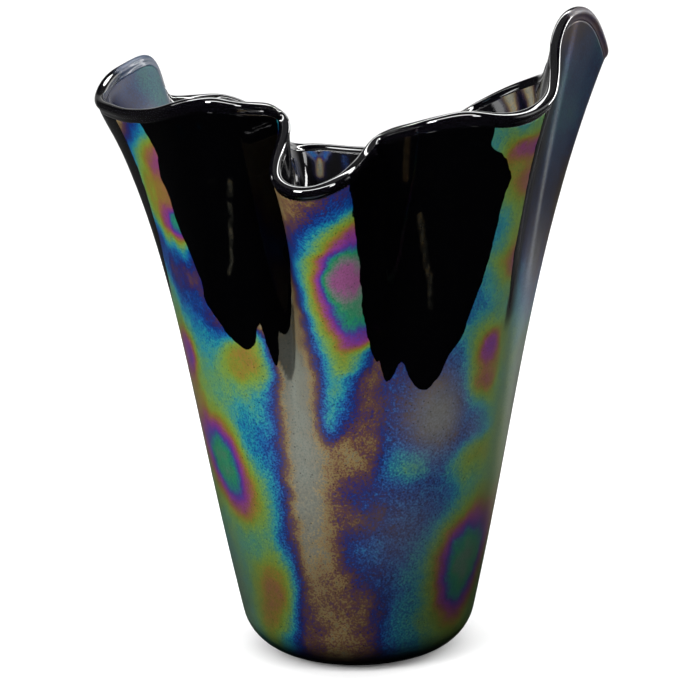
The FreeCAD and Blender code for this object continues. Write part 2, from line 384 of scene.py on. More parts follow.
# The colours a tin fume gives as its film thickens, from a bare grey bloom through a first order
# of tan, purple, blue, teal and gold to a second of magenta, green and pink
FILM_TOP = 8.2
FILM_COLOURS = [
    (0.0, (114, 119, 110)), (0.7, (108, 105, 92)), (1.0, (128, 112, 76)), (1.35, (92, 64, 50)),
    (1.6, (72, 48, 62)), (1.85, (48, 40, 88)), (2.1, (28, 44, 104)), (2.5, (24, 72, 134)),
    (2.9, (36, 104, 134)), (3.2, (54, 124, 130)), (3.6, (74, 125, 100)), (4.1, (100, 132, 74)),
    (4.6, (108, 124, 54)), (5.0, (120, 104, 50)), (5.4, (125, 86, 68)), (5.8, (118, 64, 98)),
    (6.1, (110, 56, 118)), (6.5, (72, 60, 128)), (6.8, (46, 96, 110)), (7.1, (44, 118, 84)),
    (7.5, (84, 104, 92)), (8.1, (122, 74, 110))]
GRIT_SCALE, DRIFT_SCALE, DRIFT_DEPTH = 1250.0, 160.0, 2.6
VIVIDNESS = 1.13
fume_colours, given, result = new_group("fume_colours", {"Film": 1.0, "Grain": 0.25},
                                        {"Color": "NodeSocketColor", "Grit": "NodeSocketFloat"})
thickness = given.outputs["Film"]
grit = noise(fume_colours, GRIT_SCALE, 2.0)
drift = noise(fume_colours, DRIFT_SCALE, 3.0)
# The grit shows most in thin film and less in thick
calm = eased(fume_colours, thickness, 3.0, 6.0, 5.0, 2.0)
jitter = maths(fume_colours, "MULTIPLY", maths(fume_colours, "SUBTRACT", grit, 0.5), calm)
slow = maths(fume_colours, "MULTIPLY", maths(fume_colours, "SUBTRACT", drift, 0.5), DRIFT_DEPTH)
order = maths(fume_colours, "MULTIPLY_ADD", maths(fume_colours, "ADD", jitter, slow),
              given.outputs["Grain"], thickness)
ramp = put(fume_colours, "ShaderNodeValToRGB", {0: maths(fume_colours, "DIVIDE", order, FILM_TOP)})
stops = ramp.color_ramp.elements
for k, (film_order, colour) in enumerate(FILM_COLOURS):
    stop = stops[k] if k < 2 else stops.new(film_order / FILM_TOP)
    stop.position, stop.color = film_order / FILM_TOP, linear(*colour)
vivid = put(fume_colours, "ShaderNodeHueSaturation",
            {"Saturation": VIVIDNESS, "Color": ramp.outputs[0]})
fume_colours.links.new(vivid.outputs[0], result.inputs["Color"])
fume_colours.links.new(grit, result.inputs["Grit"])

# Slow waves that the maker's tools and the reheating leave in the skin of hot glass, with a fine
# orange peel on them
ORANGE_PEEL_SCALE = 900.0
hand_waves, given, result = new_group("hand_waves", {"Size": 60.0, "Fine": 0.1},
                                      {"Height": "NodeSocketFloat"})
swell = noise(hand_waves, given.outputs["Size"], 1.0)
peel = noise(hand_waves, ORANGE_PEEL_SCALE, 2.0)
hand_waves.links.new(maths(hand_waves, "MULTIPLY_ADD", peel, given.outputs["Fine"], swell),
                     result.inputs["Height"])

GROUND_TOP = 0.00015    # in metres: what lies lower was ground flat
GROUND_ROUGHNESS = 0.6
SCUFF_SCALE = 700.0
BARE_DARK, BARE_PALE = (0.0016, 0.0016, 0.0022, 1), (0.0030, 0.0028, 0.0034, 1)
GROUND_GREY = (0.05, 0.05, 0.052, 1)
black_glass, tree, shader = new_material("black_glass")
# The satin mark also brings in the painted highlights inside
veil_and_glint = read(tree, "fume_satin_and_glint")
fume = put(tree, "ShaderNodeGroup", {"Film": read(tree, "film")}, node_tree=fume_colours)
height = put(tree, "ShaderNodeSeparateXYZ", {0: object_place(tree)}).outputs["Z"]
ground = maths(tree, "LESS_THAN", height, GROUND_TOP)
bare_black = blend_colours(tree, noise(tree, SCUFF_SCALE, 4.0), BARE_DARK, BARE_PALE)
faint = maths(tree, "MULTIPLY", veil_and_glint, maths(tree, "MULTIPLY_ADD", fume.outputs["Grit"], 0.5, 0.12))
veiled = blend_colours(tree, faint, bare_black, fume.outputs["Color"])
tree.links.new(blend_colours(tree, ground, veiled, GROUND_GREY), shader.inputs["Base Color"])
gloss = maths(tree, "MULTIPLY_ADD", veil_and_glint, 0.5, 0.03)
tree.links.new(maths(tree, "MAXIMUM", gloss, maths(tree, "MULTIPLY", ground, GROUND_ROUGHNESS)),
               shader.inputs["Roughness"])
waves = put(tree, "ShaderNodeGroup", {"Size": 45.0, "Fine": 0.02}, node_tree=hand_waves)
raise_skin(tree, shader, waves.outputs[0], 0.0012, 0.5)
core.data.materials.append(black_glass)
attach(core, "root")
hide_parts("black_core")

# ---------------------------------------------------------------------------------------------
# Lustre casing. The skin that was fumed with metal salts while hot: an iridescent film that lies
# thick in some places and thin in others. Its colour also carries painted light: black tongues that
# stand in for dark reflections, painted shade in a groove, to the right and towards the foot, and
# painted sheens and highlights.

# Fume clouds: bearing in degrees, height, film order, reach in mm
CLOUDS = [
    # left panel, from the lip down
    (-70, 215, 0.8, 5), (-76, 205, 1.2, 6), (-71, 209, 2.0, 3), (-65, 212, 2.1, 3),
    (-60, 214.5, 2.1, 3), (-70, 205, 3.1, 3), (-64, 208, 3.3, 3), (-58, 211, 3.4, 3),
    (-68, 201, 4.3, 3), (-62, 202, 4.9, 3), (-56, 205, 5.5, 3), (-58, 200, 6.1, 4),
    (-65, 195, 4.9, 5), (-58, 192, 5.3, 3), (-66, 187, 4.9, 4), (-59, 187, 5.1, 3),
    (-70, 180, 4.8, 4), (-62, 181, 6.1, 2.5), (-57, 176, 7.2, 3), (-64, 176, 6.1, 2.5),
    (-58, 170.5, 5.9, 2.5), (-66, 170, 4.5, 3), (-57, 167, 4.0, 2.5), (-62, 165.5, 2.9, 3),
    (-56, 163, 2.5, 3), (-62, 162, 2.1, 3), (-58, 158, 1.6, 6), (-66, 155, 1.7, 6),
    (-75, 166, 2.1, 7), (-62, 148, 2.4, 5), (-54, 148, 2.0, 5), (-48, 142, 1.7, 5),
    (-44, 136, 1.9, 4), (-66, 142, 2.9, 5), (-55, 136, 2.9, 5), (-48, 132, 2.9, 4),
    (-78, 142, 4.0, 6), (-68, 134, 3.4, 5), (-37, 126, 4.9, 6), (-46, 125, 4.2, 5),
    (-31, 120, 3.9, 4), (-58, 126, 3.4, 5), (-62, 118, 3.9, 5), (-50, 116, 3.7, 5),
    (-74, 108, 4.6, 6), (-40, 113, 3.6, 5), (-41, 103, 2.9, 5), (-40, 95, 2.5, 5),
    (-36, 87, 2.9, 5), (-33, 104, 3.1, 5), (-36, 78, 3.4, 5), (-55, 100, 3.5, 6),
    (-58, 83, 3.6, 9), (-70, 90, 4.2, 7), (-40, 68, 4.2, 6), (-35, 66, 3.4, 4), (-50, 66, 4.0, 6),
    # the teal belt and the gold oval near the foot
    (-52, 54, 3.4, 5), (-42, 56, 3.2, 5), (-62, 54, 3.7, 6), (-42, 48, 3.2, 4), (-50, 36, 4.2, 6),
    (-50, 22, 4.1, 6), (-64, 35, 3.6, 8), (-35, 35, 3.4, 4), (-35, 22, 3.2, 4), (-38, 12, 3.0, 4),
    (-52, 11, 3.2, 5),
    # blue edge beside the grey strip
    (-31, 112, 2.8, 4), (-30, 100, 2.5, 4), (-30, 90, 2.6, 4), (-30, 78, 2.6, 4),
    (-30, 68, 2.1, 4), (-30, 58, 1.9, 5), (-30, 46, 2.2, 4), (-30, 34, 2.3, 4), (-29, 22, 2.0, 4),
    (-31, 10, 2.0, 4), (-27, 118, 1.7, 2.5), (-26.5, 108, 1.7, 2.5), (-26.5, 97, 1.7, 2.5),
    (-26, 86, 1.7, 2.5), (-25.5, 75, 1.7, 2.5), (-25, 64, 1.6, 2.5), (-25, 53, 1.6, 2.5),
    (-25, 42, 1.6, 3), (-24, 31, 1.6, 4), (-23, 19, 1.7, 4),
    # grey strip below the front fold, a painted reflection of a tall light
    (-20, 150, 0.5, 6), (-21, 124, 0.1, 6), (-21, 110, 0.1, 6), (-21, 96, 0.2, 6),
    (-21, 81, 0.3, 6), (-17, 120, 0.0, 5), (-17, 107, 0.0, 5), (-17, 93, 0.0, 5),
    (-17, 79, 0.2, 5), (-20, 66, 0.4, 6), (-19, 52, 0.6, 6), (-18, 38, 1.2, 6), (-14, 24, 1.3, 6),
    (-4, 14, 1.15, 6), (-21, 24, 1.35, 4), (-21, 14, 1.3, 4), (-12, 12, 1.2, 5), (-10, 33, 1.4, 4),
    (-24.5, 12, 1.7, 3),
    # front lobe and its rim
    (-18, 192, 0.95, 4), (-13, 192, 1.15, 4), (-8, 193, 1.6, 3), (-3, 193, 1.9, 3), (1, 193, 2, 3),
    (0, 189.5, 2.6, 2), (-4, 189, 2, 2.5), (0.3, 186, 4.4, 2.2), (-2.5, 186, 3, 2.5),
    (-6, 186, 2.1, 2.5), (-10, 186, 1.7, 3), (-14, 185.5, 1.2, 3), (-18.5, 184, 1.1, 3),
    (0, 181.5, 5.9, 2.5), (-3, 181.5, 5, 2.3), (-5.5, 181.5, 3.8, 2.3), (-8, 181.5, 2.8, 2.3),
    (-11, 181, 2.1, 2.5), (-14, 181, 1.7, 3), (-18.5, 178, 1.4, 3), (-0.3, 176, 6.2, 3),
    (-3.5, 176.5, 6, 2.3), (-6.3, 176.5, 4.8, 2.3), (-8.6, 176.5, 3.6, 2.3), (-11, 176, 2.7, 2.5),
    (-13.8, 176, 2.2, 3), (-17, 175, 1.9, 3), (-17.8, 168, 2.2, 3), (-12, 168, 3, 2.5),
    (-9, 168, 4.6, 2.5), (-7, 168, 6, 3), (-3.1, 170, 7, 3), (1, 170, 7, 3), (-17, 160, 1.9, 3),
    (-13.3, 160, 2.7, 2.5), (-11.1, 160, 4.3, 2.3), (-9.4, 160, 5.8, 2.5), (-6.2, 160, 7.1, 3),
    (-1.6, 163, 7.9, 4), (1.5, 161, 7.4, 3), (-19.1, 152, 1, 3), (-16, 152, 1.9, 2.5),
    (-13.2, 152, 2.9, 2.5), (-10.8, 152, 4.4, 2.5), (-8.5, 152, 5.8, 2.5), (-5.5, 152, 6.9, 3),
    (-0.2, 153, 7.3, 4), (-18.1, 145, 0.9, 3), (-15.5, 145, 1.7, 2.5), (-13.2, 145, 2.5, 2.5),
    (-10.8, 145, 3.4, 2.5), (-8.7, 145, 4.7, 2.5), (-6.3, 145, 6, 2.5), (-2.3, 146, 7, 3),
    (2.1, 147, 7.1, 3), (-16.5, 138, 0.9, 3), (-14.3, 138, 1.7, 2.5), (-12, 138, 2.4, 2.5),
    (-9.2, 138, 3.4, 2.5), (-6.3, 138, 4.7, 2.5), (-3, 138, 6, 2.5), (2, 138, 6.2, 3),
    (-16.5, 129, 0.5, 3), (-14, 129, 1.3, 2.5), (-12, 129, 1.9, 2.5), (-9.5, 129, 2.7, 2.5),
    (-6.7, 129, 3.7, 2.5), (-3.2, 130, 4.7, 3), (0, 130, 3.9, 2.5), (3, 130, 2.6, 2.5),
    (6, 130, 1.5, 3), (-16.7, 120, 0.7, 3), (-14.2, 120, 1.4, 2.5), (-12.2, 120, 2, 2.5),
    (-9.7, 120, 2.8, 2.5), (-5.9, 121, 3.7, 3), (-2.2, 121, 2.8, 2.5), (0.6, 121, 1.9, 2.5),
    (-15.2, 112, 1.2, 2.5), (-13, 112, 1.8, 2.5), (-10.7, 112, 2.6, 2.5), (-7.6, 113, 3.7, 3.2),
    (-4.2, 112, 2.5, 2.5), (-1.7, 112, 1.8, 3), (-14.4, 105, 1.3, 2.5), (-12.4, 105, 2.1, 2),
    (-9.2, 106, 4.1, 3.4), (-6.6, 105, 2.4, 2.5), (-4.2, 105, 1.7, 3), (-13.2, 99.5, 1.4, 2.5),
    (-9.7, 100, 1.9, 2.5), (-4.5, 99, 1.5, 3), (-16.8, 145, 0.8, 3), (-14, 94, 1.1, 3),
    (-6, 95, 1.2, 3), (0, 98, 1.5, 3),
    # right of the front lobe: purple, blue and grey under the second fold
    (5, 120, 1.35, 4), (6, 110, 1.4, 5), (12, 117, 2.1, 4), (13, 106, 2.1, 5), (18, 118, 2.0, 4),
    (19, 108, 1.8, 4), (25, 111, 1.6, 5), (28, 101, 1.7, 5), (31, 114, 1.8, 4), (20, 98, 1.7, 4),
    (36, 118, 2.3, 4), (35, 107, 1.9, 4), (39, 126, 2.7, 4), (39, 113, 2.8, 4), (42, 137, 3.2, 4),
    (-2, 91, 1.0, 5), (5, 93, 1.2, 5), (-9, 85, 1.3, 5), (-2, 83, 1.4, 3), (7, 84, 1.8, 4),
    (-9, 76, 1.5, 4), (-2, 77, 2.3, 4), (4, 76, 2.1, 4), (-8, 67, 1.4, 4), (0, 68, 1.5, 4),
    (8, 68, 1.7, 4), (12, 76, 2.1, 4), (13, 97, 2.3, 4), (17, 87, 3.6, 5), (11, 88, 2.9, 4),
    (24, 88, 3.2, 4), (31, 90, 2.2, 4), (37, 98, 2.0, 5), (45, 98, 2.2, 4), (20, 74, 2.2, 6),
    (30, 76, 2.3, 6), (15, 62, 2.15, 6), (24, 62, 2.35, 6), (-11, 57, 1.3, 5), (-4, 56, 2.1, 4),
    (2, 52, 2.3, 5), (10, 50, 2.3, 5), (-10, 44, 1.2, 5), (0, 43, 1.8, 4), (7, 41, 2.0, 4),
    (-8, 32, 1.3, 5), (-1, 29, 1.4, 5), (8, 28, 1.6, 4), (5, 13, 1.6, 5), (13, 36, 2.3, 5),
    (20, 38, 2.9, 5), (18, 22, 3.0, 6), (14, 10, 2.3, 4), (27, 52, 2.8, 5), (24, 11, 3.0, 4),
    # right panel, from the lip down
    (40, 214, 3.0, 3), (33, 209, 3.3, 3), (45, 213, 3.8, 3), (37, 209.5, 4.6, 3),
    (42, 206, 6.0, 3), (47, 205, 6.0, 3), (44, 198, 4.7, 5), (48, 191, 5.9, 4), (44, 186, 4.2, 4),
    (42, 178, 3.0, 5), (50, 180, 4.4, 4), (45, 170, 3.3, 4), (50, 171, 4.8, 4), (51, 163, 5.9, 4),
    (46, 160, 4.5, 4), (42, 155, 3.0, 4), (48, 150, 4.0, 4), (46, 144, 3.2, 4), (40, 146, 2.8, 4),
    (53, 143, 3.7, 4), (44, 137, 4.1, 4), (56, 131, 4.3, 4), (40, 124, 3.1, 3), (42, 132, 3.9, 3),
    (44, 114, 3.4, 4), (54, 107, 4.1, 4), (45, 105, 2.8, 4), (52, 100, 3.1, 4), (62, 112, 3.8, 6),
    (62, 130, 4.0, 6), (50, 122, 4.5, 3), (45, 87, 4.5, 5), (53, 87, 4.5, 4), (37, 84, 3.3, 4),
    (48, 75, 3.5, 5), (38, 70, 2.9, 5), (50, 42, 3.9, 9), (32, 48, 3.2, 5), (30, 34, 3.2, 5),
    (34, 22, 3.6, 5), (60, 66, 4.4, 5), (46, 14, 3.6, 5), (60, 14, 4.0, 6), (62, 75, 3.8, 6),
    (66, 92, 4.0, 7),
    # fume colour under the painted highlight hairlines
    (17, 172, 0.7, 6), (21, 153, 0.6, 5), (13, 205, 1.1, 5), (-32, 180, 0.5, 6),
    # outside of the tall right peak
    (74, 246, 1.2, 6), (77, 237, 2.2, 6), (82, 228, 2.5, 6), (72, 226, 3.0, 5), (85, 213, 2.9, 7),
    (76, 212, 2.8, 6), (80, 193, 2.4, 7), (79, 175, 2.0, 8), (84, 150, 1.6, 9), (72, 140, 3.0, 8),
    (78, 115, 3.8, 9), (76, 90, 4.4, 8), (78, 60, 4.8, 9), (76, 30, 4.0, 9), (-84, 180, 2.4, 8),
    (-86, 150, 3.6, 9), (-84, 120, 5.2, 8), (-82, 95, 5.0, 8), (-80, 70, 4.2, 8),
    (-80, 45, 3.4, 8), (-78, 20, 3.8, 8), (-88, 215, 1.2, 8),
]
# Hearts, where the fume is thickest: bearing, height, half widths in mm across and up, lean across
# per mm up, film order at the centre
HEARTS = [
    (-58.5, 83, 15, 17, -0.4, 7.2), (-2.1, 162, 4.3, 7.2, -0.1, 8.2), (52, 42, 20, 17, 0.1, 7.4),
    (-73, 124, 8, 8, 0, 6.3), (46, 127, 9, 9.5, 0, 4.8), (47.5, 129, 5, 5.5, 0, 6.2),
    (48.5, 117, 6.5, 6, 0, 5.4), (-41.5, 31, 11, 16, 0.3, 5.2), (-38, 127, 9, 6, 0, 4.95),
]
# Painted dark reflections: black tongues where the film is left out, outlines of bearings and heights
GROOVE_SHADE = [
    # painted shade in the groove under the tall peak
    (49, 230), (49, 217), (50, 200), (52, 180), (52.5, 165), (54.5, 152), (58, 141), (59, 152),
    (61, 170), (63, 185), (66, 200), (68, 230)]
DARK_REFLECTION_TONGUES = [
    # front left of the fold
    [(-57, 230), (-57, 216), (-54, 204), (-57.5, 195), (-55.5, 188), (-56, 178), (-53, 167),
     (-51, 160), (-49, 155), (-51, 150), (-46, 143), (-41, 136), (-34, 132), (-31, 135),
     (-29, 145), (-27.5, 132), (-26, 125), (-25, 130), (-24.5, 141), (-23, 137), (-21.5, 139),
     (-20, 152), (-19, 165), (-20, 180), (-20, 195), (-19, 230)],
    # front right of the fold
    [(-2, 230), (-0.8, 200), (0.4, 180), (1.5, 165), (2.2, 150), (3.9, 138), (6.2, 129),
     (7.2, 126.5), (8, 129), (8.8, 124), (10.3, 119.5), (11.5, 120), (13, 124), (15, 129),
     (18, 120), (20, 117.5), (23, 116.5), (26, 120), (28, 126), (30.5, 131), (33.5, 136),
     (35, 143), (38, 155), (40, 170), (40, 185), (41.5, 195), (36, 204), (31, 208), (31, 230)],
    # beside the left edge
    [(-73, 240), (-72, 212), (-72, 195), (-75, 168), (-79.5, 147), (-88, 134), (-98, 150),
     (-104, 190), (-106, 240)],
    GROOVE_SHADE,
]
# A last thin run of the left painted dark reflection lets a little of the lustre through
REFLECTION_FINGER = [(-27, 150), (-26.8, 134), (-25, 126), (-22.3, 119.5), (-20.4, 126), (-19.3, 134),
          (-18.8, 150)]
# Painted highlight hairlines down inside the two front dark-reflection tongues: a line and its half
# width
HIGHLIGHT_STREAKS = [([(-29.5, 197), (-31.5, 182), (-34, 166), (-36, 161)], 0.5),
           ([(13, 214), (13.3, 203), (13.6, 196)], 0.45),
           ([(17, 184), (18.5, 174), (20, 164), (21, 160), (22, 149)], 0.6)]
# The side turned away has the same kind of clouds, hearts and painted dark-reflection tongues, its
# clouds strewn at random
strew = np.random.default_rng(7)
BACK_ORDERS = [0.6, 1.4, 2.0, 2.6, 3.2, 3.8, 4.4, 5.0]
BACK_CLOUDS = [(float(bearing), float(height), float(strew.choice(BACK_ORDERS)), 9)
               for bearing in range(100, 262, 13) for height in range(15, 250, 21)]
BACK_HEARTS = [
    (118, 62, 17, 16, 0.2, 7.2), (152, 128, 15, 19, -0.1, 7.6), (196, 70, 18, 17, 0.1, 7.1),
    (232, 120, 16, 18, 0.0, 7.8), (205, 172, 12, 16, 0.1, 6.6), (248, 48, 14, 14, 0.2, 6.3)]
BACK_DARK_REFLECTION_TONGUES = [
    [(112, 260), (114, 190), (118, 160), (123, 142), (127, 150), (131, 128), (137, 122),
     (142, 136), (146, 158), (148, 185), (150, 260)],
    [(170, 260), (171, 180), (174, 150), (180, 128), (185, 138), (189, 119), (194, 124),
     (198, 150), (201, 172), (203, 260)],
    [(222, 260), (222, 190), (226, 165), (231, 150), (236, 143), (240, 158), (246, 170),
     (249, 200), (252, 260)]]
DEGREE = 1.25           # mm of wall to one degree of bearing, at the middle of the body
OUTLINE_POINTS = 160
OUTLINE_ROUNDING = 1.1  # how far along a tongue's outline its corners are eased
casing = ring_mesh("lustre_casing_glass", list(outer[HEM:]) + down_outside)
skin = points_of(casing)
skin_bearing, skin_height = bearings_of(skin), skin[:, 2]


def fume_thickness(bearing, height):
    """Order of the film at bearings and heights: the clouds melted together, then the hearts.

    Each cloud also counts a very little far away, so that no place is left without a film.
    """
    total, share = np.zeros_like(bearing), np.zeros_like(bearing)
    for centre, level, order, reach in CLOUDS + BACK_CLOUDS:
        across = ((bearing - centre + 180) % 360 - 180) * DEGREE
        far = across**2 + (height - level) ** 2
        weight = np.exp(-0.5 * far / reach**2) + 1e-7 / (1 + far / 100)
        total += weight * order
        share += weight
    film = total / share
    for centre, level, half, tall, lean, order in HEARTS + BACK_HEARTS:
        rise = height - level
        across = ((bearing - centre + 180) % 360 - 180) * DEGREE - lean * rise
        turn = np.arctan2(rise / tall, across / half)
        uneven = 1 + 0.14 * np.sin(2 * turn + centre) + 0.12 * np.sin(3 * turn + 2 * centre)
        near = np.exp(-0.5 * (((across / half) ** 2 + (rise / tall) ** 2) * uneven) ** 1.5)
        film += (order - film) * near
    return film


def inside_distance(bearing, height, outline):
    """How far in mm each point lies inside a tongue's outline; negative outside."""
    corners = np.array(outline, dtype=float) * (DEGREE, 1)
    corners, length = evenly(np.pad(corners, ((0, 0), (0, 1))), OUTLINE_POINTS)
    corners = blur(corners, OUTLINE_ROUNDING * OUTLINE_POINTS / length)[:, :2]
    here = np.stack([bearing * DEGREE, height], axis=-1)
    nearest, within = np.full(len(here), 1e9), np.zeros(len(here), dtype=bool)
    for a, b in zip(corners, np.roll(corners, -1, axis=0)):
        edge = b - a
        along = np.clip((here - a) @ edge / (edge @ edge), 0, 1)
        nearest = np.minimum(nearest, np.linalg.norm(here - a - along[:, None] * edge, axis=1))
        crosses = (a[1] > here[:, 1]) != (b[1] > here[:, 1])
        run = np.where(crosses, (here[:, 1] - a[1]) / (edge[1] if edge[1] else 1), 0)
        within ^= crosses & (here[:, 0] < a[0] + run * edge[0])
    return np.where(within, nearest, -nearest)


FAR_OUTSIDE = -99.0
# How far inside the painted dark-reflection tongues each point lies
dark_reflection = np.full(len(skin), FAR_OUTSIDE)
for outlines, bearing in ((DARK_REFLECTION_TONGUES, skin_bearing), (BACK_DARK_REFLECTION_TONGUES, skin_bearing % 360)):
    for outline in outlines:
        dark_reflection = np.maximum(dark_reflection, inside_distance(bearing, skin_height, outline))
highlight_streaked = np.zeros(len(skin))
for line, half in HIGHLIGHT_STREAKS:
    for off in off_line(skin_bearing, skin_height, line, DEGREE):
        highlight_streaked = np.maximum(highlight_streaked, np.exp(-0.5 * (off / half) ** 2))
mark(casing, "dark_reflection", dark_reflection)
mark(casing, "highlight_streak", highlight_streaked)
mark(casing, "film", fume_thickness(skin_bearing, skin_height))

# Painted shade: the film is darkest to the right and towards the foot and brightest on the front and
# upper left
low = 1 - smooth(skin_height, 10, 110)
right_shade = smooth(skin_bearing, -12, 30) * (1 - smooth(skin_bearing, 110, 165))
strength = 0.92 * (0.05 + 0.95 * smooth(skin_height, 4, 17)) * (1 - 0.5 * low)
strength *= (1 - 0.45 * right_shade) * (1 - 0.25 * low * right_shade)
# Painted shade on the tall peak, a painted highlight along a thin ridge and a painted sheen on the
# right flank below
peak_shade = smooth(skin_bearing, 60, 70) * (1 - smooth(skin_bearing, 98, 122))
peak_shade *= smooth(skin_height, 150, 185)
ridge_highlight = np.exp(-0.5 * ((skin_bearing - 74) / 1.1) ** 2) * smooth(skin_height, 140, 160)
strength *= 1 - 0.7 * peak_shade + 0.9 * ridge_highlight
flank_sheen = smooth(skin_bearing, 62, 76) * (1 - smooth(skin_bearing, 100, 140))
flank_sheen *= (1 - smooth(skin_height, 130, 165)) * smooth(skin_height, 30, 70)
strength *= 1 + 1.25 * flank_sheen
# It dies away into the painted dark reflection of the finger and the painted shade of the groove
strength *= 1 - 0.72 * smooth(inside_distance(skin_bearing, skin_height, REFLECTION_FINGER), -0.3, 0.3)
# Painted shade: the film darkens into the groove under the peak
into_groove_shade = inside_distance(skin_bearing, skin_height, GROOVE_SHADE)
strength *= np.where(skin_bearing > 55, smooth(-into_groove_shade, 0, 11), 1)
# The strength mark carries the painted shade, highlight and sheen above
mark(casing, "strength", strength)
mark(casing, "bloom", (1 - 0.85 * smooth(skin_height, 140, 185)) * smooth(skin_height, 6, 30))

# Where the film turns milky grey, most of these painted reflections and sheens of the bright room
# (the edge washes, the pale ridge on the peak and the strip below the front fold): bearing, height,
# half widths in degrees and mm, amount
HAZE_AND_SHEEN_PATCHES = [
    (28, 106, 8, 12, 0.85), (20, 60, 12, 13, 0.3), (45, 99, 8, 7, 0.3), (74, 185, 1.6, 42, 0.9),
    (80, 105, 14, 50, 0.9), (76, 155, 8, 22, 0.8), (80, 245, 10, 14, 0.2), (-86, 80, 10, 45, 0.55),
    (-76, 26, 13, 26, 0.6), (-19, 100, 6, 34, 0.3)]
haze_and_sheen = np.zeros(len(skin))
for bearing, height, across, tall, amount in HAZE_AND_SHEEN_PATCHES:
    away = ((skin_bearing - bearing + 180) % 360 - 180) / across
    near = np.exp(-0.5 * (away**2 + ((skin_height - height) / tall) ** 2))
    haze_and_sheen = np.maximum(haze_and_sheen, amount * near)
mark(casing, "haze_and_sheen", haze_and_sheen)

# Black where the painted dark reflections and the painted shade show
SHADE_AND_REFLECTION_BLACK = (0.0005, 0.0005, 0.0007, 1)
HAZE_AND_SHEEN_GREY = linear(112, 114, 110)
# The glossy roughness also holds where the painted dark reflections show
GLOSSY, SATIN = 0.03, 0.36      # roughness of the bare glass, and what the fume adds to it
RAGGED_SCALE, PIT_SCALE = 160.0, 420.0
RAGGED_DEPTH = 2.0              # how far in mm the edge of the fume wanders
lustre_glass, tree, shader = new_material("lustre_glass")
fume = put(tree, "ShaderNodeGroup", {"Film": read(tree, "film"), "Grain": 0.4},
           node_tree=fume_colours)
# The fume ends in ragged edges against the painted dark reflections, with patchy painted highlight
# hairlines on them
patchy = noise(tree, RAGGED_SCALE, 2.0)
ragged = maths(tree, "MULTIPLY_ADD", maths(tree, "SUBTRACT", patchy, 0.5), RAGGED_DEPTH,
               read(tree, "dark_reflection"))
in_dark_reflection = eased(tree, ragged, -0.15, 0.15, 0.0, 1.0)
patchy = maths(tree, "MULTIPLY", maths(tree, "SUBTRACT", patchy, 0.33), 0.6)
# Painted highlight hairlines on the dark reflections
highlight_streak = maths(tree, "MULTIPLY", maths(tree, "SUBTRACT", read(tree, "highlight_streak"), 0.2), patchy)
highlight_streak = maths(tree, "MAXIMUM", highlight_streak, 0.0)
film_outside_reflection = maths(tree, "MAXIMUM", maths(tree, "SUBTRACT", 1.0, in_dark_reflection), highlight_streak)
# Pits and grit darken it, on top of the painted shade, highlight and sheen that the strength mark
# carries
pit = put(tree, "ShaderNodeTexVoronoi", {"Vector": object_place(tree), "Scale": PIT_SCALE})
pits = eased(tree, pit.outputs["Distance"], 0.10, 0.16, 0.0, 1.0)
shade = maths(tree, "MULTIPLY", read(tree, "strength"), maths(tree, "MULTIPLY_ADD", pits, 0.6, 0.4))
shade = maths(tree, "MULTIPLY", shade, maths(tree, "MULTIPLY_ADD", fume.outputs["Grit"], 1.3, 0.35))
shade = maths(tree, "MULTIPLY", shade, film_outside_reflection)
# The grey is mostly painted reflection and sheen
lustre = blend_colours(tree, read(tree, "haze_and_sheen"), fume.outputs["Color"], HAZE_AND_SHEEN_GREY)
tree.links.new(blend_colours(tree, shade, SHADE_AND_REFLECTION_BLACK, lustre), shader.inputs["Base Color"])
tree.links.new(maths(tree, "MULTIPLY_ADD", film_outside_reflection, SATIN, GLOSSY), shader.inputs["Roughness"])
shader.inputs["Metallic"].default_value = 0.25
bloom = maths(tree, "MULTIPLY", film_outside_reflection, read(tree, "bloom"))
tree.links.new(maths(tree, "MULTIPLY", bloom, 0.6), shader.inputs["Coat Weight"])
shader.inputs["Coat Roughness"].default_value = 0.28
shader.inputs["Specular IOR Level"].default_value = 0.18
waves = put(tree, "ShaderNodeGroup", {"Size": 45.0, "Fine": 0.05}, node_tree=hand_waves)
raise_skin(tree, shader, waves.outputs[0], 0.001, 0.5)
casing.data.materials.append(lustre_glass)
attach(casing, "root")
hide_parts("lustre_casing")

# ---------------------------------------------------------------------------------------------
# Lip wrap. A trail of black glass melted on round the lip, so that the casing stops a little
# below it, and rounded in the fire to a bead.

BEAD = 0.45             # how far the bead stands proud
WRAP_SIDES = 34
PEAK_FILM, FLAP_FILM = 1.6, 2.6     # film order on the tall peak and on the back flap
rise = middle[-1] - middle[-2]
rise /= np.linalg.norm(rise, axis=-1, keepdims=True)


def rounded(corners, count):
    """Points along a cubic spline that starts and ends at its end corners."""
    corners = np.array(corners, dtype=float)
    last = len(corners) - 3
    knots = np.concatenate([[0] * 3, np.arange(last + 1), [last] * 3]).astype(float)
    line = []
    for x in np.linspace(0, last - 1e-9, count):
        k = 3 + int(x)
        pull = [corners[j + k - 3] for j in range(4)]
        for r in range(1, 4):
            for j in range(3, r - 1, -1):
                share = (x - knots[j + k - 3]) / (knots[j + 1 + k - r] - knots[j + k - 3])
                pull[j] = (1 - share) * pull[j - 1] + share * pull[j]
        line.append(pull[3])
    return line


side = [(HALF, 0), (HALF, 0.20 * BAND), (HALF + 0.1, 0.38 * BAND), (HALF + 1.3 * BEAD, 0.55 * BAND),
        (HALF + 1.1 * BEAD, 0.85 * BAND), (0.66 * HALF, 1.05 * BAND), (0, 1.07 * BAND)]
side += [(-a, b) for a, b in reversed(side[:-1])]
wrap = ring_mesh("lip_wrap_glass",
                 [middle[-1] + normal[-1] * a + rise * b for a, b in rounded(side, WRAP_SIDES)])
